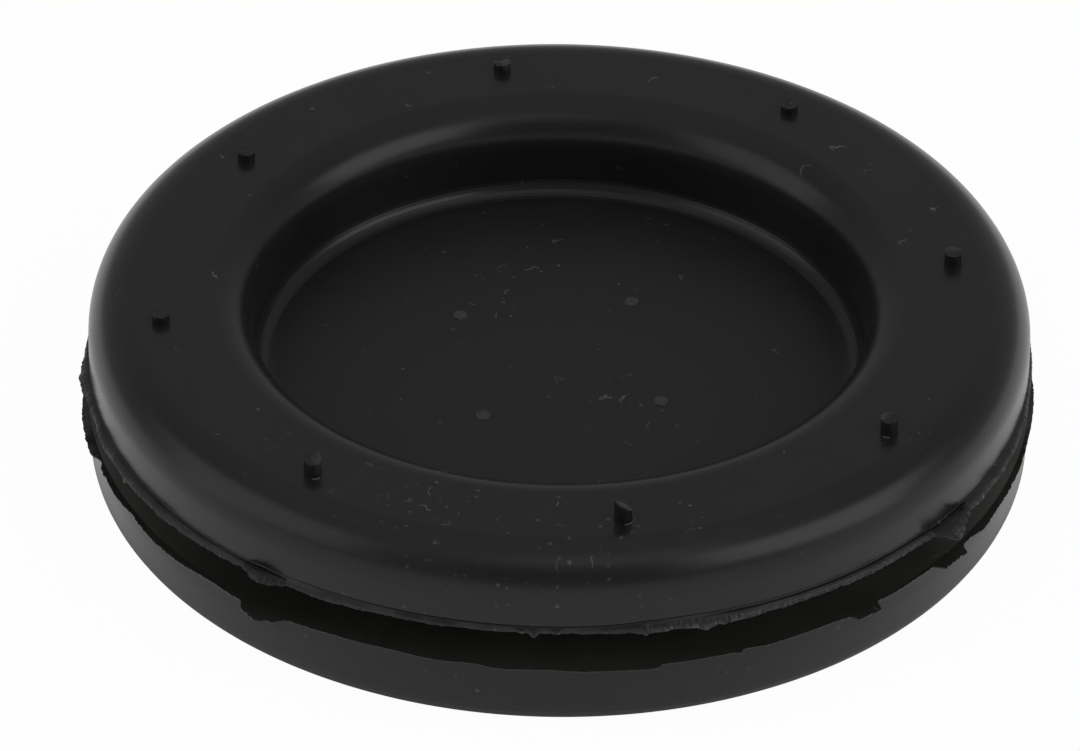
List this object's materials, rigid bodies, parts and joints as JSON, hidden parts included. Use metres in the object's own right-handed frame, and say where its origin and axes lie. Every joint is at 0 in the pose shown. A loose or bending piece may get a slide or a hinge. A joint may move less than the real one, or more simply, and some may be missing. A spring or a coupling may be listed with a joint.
{
  "type": "blind rubber grommet",
  "caption": "Blind rubber grommet: round soft-edged flanges around a panel groove, with recessed faces and a thin closed membrane.",
  "frame": {"origin": "on the axis, at the flat face of the lower flange that the grommet stands on", "axes": "+Z along the axis, from the lower flange to the upper flange that carries the sprue pips"},
  "size_m": [0.0488, 0.0488, 0.0105],
  "materials": {
    "black_rubber": "satin moulded rubber with a little light dust"
  },
  "bodies": {
    "root": {"grommet": "black_rubber"}
  },
  "joints": []
}
